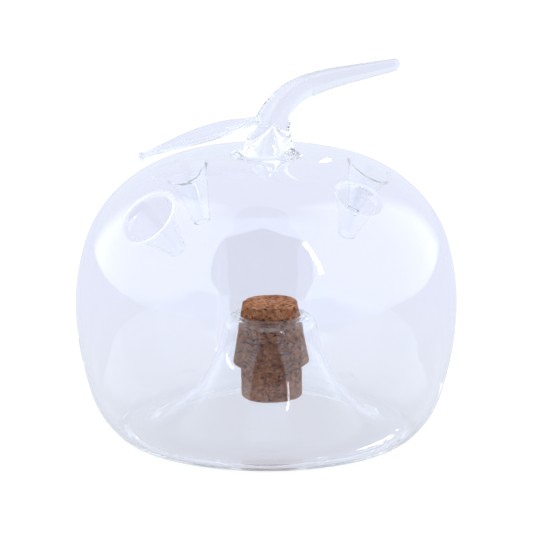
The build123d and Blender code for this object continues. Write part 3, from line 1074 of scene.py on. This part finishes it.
def make_world():
    """A white light tent with a softbox in each side. In front, between the softboxes, is a dark
    gap, with a dark column below it. Both show only in reflections. Light from across the trap
    sees dimmer softboxes, and a gap that stops lower."""
    world = bpy.data.worlds.new("light_tent")
    bpy.context.scene.world = world
    world.use_nodes = True
    graph = Graph(world.node_tree)
    graph.tree.nodes.clear()
    x, y, z = graph.split(graph.add("TexCoord").outputs["Generated"])
    path = graph.add("LightPath")

    def past(value, degrees, blur=EDGE_BLUR):
        return graph.rise(value, radians(degrees - blur), radians(degrees + blur))

    def before(value, degrees, blur=EDGE_BLUR):
        return graph.maths("SUBTRACT", 1.0, past(value, degrees, blur))

    azimuth = graph.maths("ARCTAN2", x, graph.maths("MULTIPLY", y, -1.0))
    elevation = graph.maths("ARCSINE", z)
    aside = graph.maths("ABSOLUTE", azimuth)
    off_gap = graph.maths("ABSOLUTE", graph.maths("SUBTRACT", azimuth, radians(GAP_MIDDLE)))
    low = before(elevation, GAP_BOTTOM)

    across_trap = graph.product(
        graph.maths("GREATER_THAN", path.outputs["Transmission Depth"], CLEAN_DEPTH),
        graph.maths("LESS_THAN", path.outputs["Diffuse Depth"], HALF_A_BOUNCE),
    )
    hidden = graph.product(across_trap, past(elevation, GAP_SEEN_INSIDE, GAP_SEEN_BLUR))
    leaning = graph.maths("MULTIPLY_ADD", elevation, -GAP_WIDENING, off_gap)
    sideways = graph.product(graph.maths("SINE", off_gap), graph.maths("COSINE", elevation))
    arch = graph.maths("MULTIPLY_ADD", sideways, radians(GAP_TOP_FALL), elevation)
    corner = graph.maths("MULTIPLY_ADD", off_gap, -GAP_CORNER_SLOPE, elevation)
    gap = graph.product(
        before(leaning, GAP_SIDE), before(arch, GAP_TOP), graph.maths("SUBTRACT", 1.0, hidden),
        past(elevation, GAP_BOTTOM), past(corner, GAP_CORNER),
    )
    narrowing = graph.maths("MULTIPLY_ADD", elevation, -COLUMN_WIDENING, off_gap)
    column = graph.product(low, before(narrowing, COLUMN_SIDE))

    beside_gap = graph.maths("SUBTRACT", radians(GAP_SIDE), off_gap)
    decay = graph.maths("EXPONENT", graph.maths("DIVIDE", beside_gap, radians(SOFTBOX_RISE_SPREAD)))
    above_bottom = graph.maths("MULTIPLY_ADD", decay, -radians(SOFTBOX_RISE), elevation)
    softbox = graph.product(
        past(leaning, GAP_SIDE + SOFTBOX_FRAME), before(aside, SOFTBOX_END, SOFTBOX_END_BLUR),
        past(above_bottom, SOFTBOX_BOTTOM, SOFTBOX_BOTTOM_BLUR),
        before(elevation, SOFTBOX_TOP, SOFTBOX_TOP_BLUR),
    )

    turned = graph.rise(aside, radians(TENT_TURN[0]), radians(TENT_TURN[1]))
    tent = graph.blend(turned, graph.blend(low, TENT_FRONT, TENT_FRONT_LOW), TENT_BACK)
    dark = graph.product(graph.maths("MAXIMUM", gap, column), graph.reflected(path))
    colour = graph.blend(softbox, graph.blend(dark, tent, GAP_COLOUR), SOFTBOX_COLOUR)
    dimming = graph.maths("MULTIPLY_ADD", graph.product(across_trap, softbox), FAR_WALL_SHARE - 1.0, 1.0)
    background = graph.add("Background")
    graph.put(background.inputs["Color"], colour)
    graph.put(background.inputs["Strength"], dimming)
    graph.put(graph.add("OutputWorld").inputs["Surface"], background.outputs[0])


# ---------------------------------------------------------------- lamps and camera

# Lamps and the camera are placed round the middle of the trap, in metres and degrees.
TRAP_MIDDLE = Vector((0, 0, 0.06))
Lamp = namedtuple("Lamp", "azimuth elevation distance size radiance")
LAMPS = {
    "strip_lamp": Lamp(38.0, 43.0, 1.2, (0.05, 0.62), 12.0),
    "back_lamp": Lamp(174.5, 18.7, 1.5, (0.022, 0.10), 12.0),
}
CAMERA_DISTANCE = 1.4
CAMERA_ELEVATION = 14.8
CAMERA_AIM = 0.0655
CAMERA_LENS = 242.7
CAMERA_SENSOR = 36

# light that is caught in the glass runs along inside it for many turns before it leaves
GLASS_BOUNCES = 160
MATT_BOUNCES = 6


def towards(azimuth, elevation, distance):
    """The way from the trap's middle to a place round it."""
    level = distance * cos(radians(elevation))
    height = distance * sin(radians(elevation))
    return Vector((level * sin(radians(azimuth)), -level * cos(radians(azimuth)), height))


def make_lamp(name, lamp):
    """A flat lamp that faces the trap. Its energy follows from its radiance."""
    light = bpy.data.lights.new(name, "AREA")
    light.shape = "RECTANGLE"
    light.size, light.size_y = lamp.size
    light.energy = lamp.radiance * pi * lamp.size[0] * lamp.size[1]
    stand = bpy.data.objects.new(name, light)
    offset = towards(lamp.azimuth, lamp.elevation, lamp.distance)
    stand.location = TRAP_MIDDLE + offset
    stand.rotation_euler = (-offset).to_track_quat("-Z", "Y").to_euler()
    bpy.context.scene.collection.objects.link(stand)


def make_camera():
    data = bpy.data.cameras.new("camera")
    data.lens = CAMERA_LENS
    data.sensor_width = CAMERA_SENSOR
    camera = bpy.data.objects.new("camera", data)
    camera.location = TRAP_MIDDLE + towards(0, CAMERA_ELEVATION, CAMERA_DISTANCE)
    aim = Vector((0, 0, CAMERA_AIM)) - camera.location
    camera.rotation_euler = aim.to_track_quat("-Z", "Y").to_euler()
    bpy.context.scene.collection.objects.link(camera)
    bpy.context.scene.camera = camera


def set_light_paths():
    scene = bpy.context.scene
    scene.view_settings.view_transform = "Standard"
    scene.cycles.max_bounces = GLASS_BOUNCES
    scene.cycles.transmission_bounces = GLASS_BOUNCES
    scene.cycles.glossy_bounces = GLASS_BOUNCES
    scene.cycles.diffuse_bounces = MATT_BOUNCES


# ---------------------------------------------------------------- the scene

def fit(piece, body, slot, material, *nodes):
    """A finished piece takes the place of its CAD nodes."""
    piece.data.materials.append(material)
    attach(piece, body)
    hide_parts(*nodes)


glass = glass_material("blown_glass", GLASS_TINT)
leaf_glass = glass_material("pressed_glass", LEAF_TINT)
cork = cork_material()
fit(make_glass(), "glass", "clear_glass", glass, "apple_bulb", "stopper_well", "stem", *FUNNELS)
fit(make_leaf(), "glass", "clear_glass", leaf_glass, "leaf")
plug, grip = make_corks()
fit(plug, "stopper", "cork", cork, "cork_plug")
fit(grip, "stopper", "cork", cork, "cork_grip")

make_stage()
make_world()
for lamp_name, lamp in LAMPS.items():
    make_lamp(lamp_name, lamp)
make_camera()
set_light_paths()
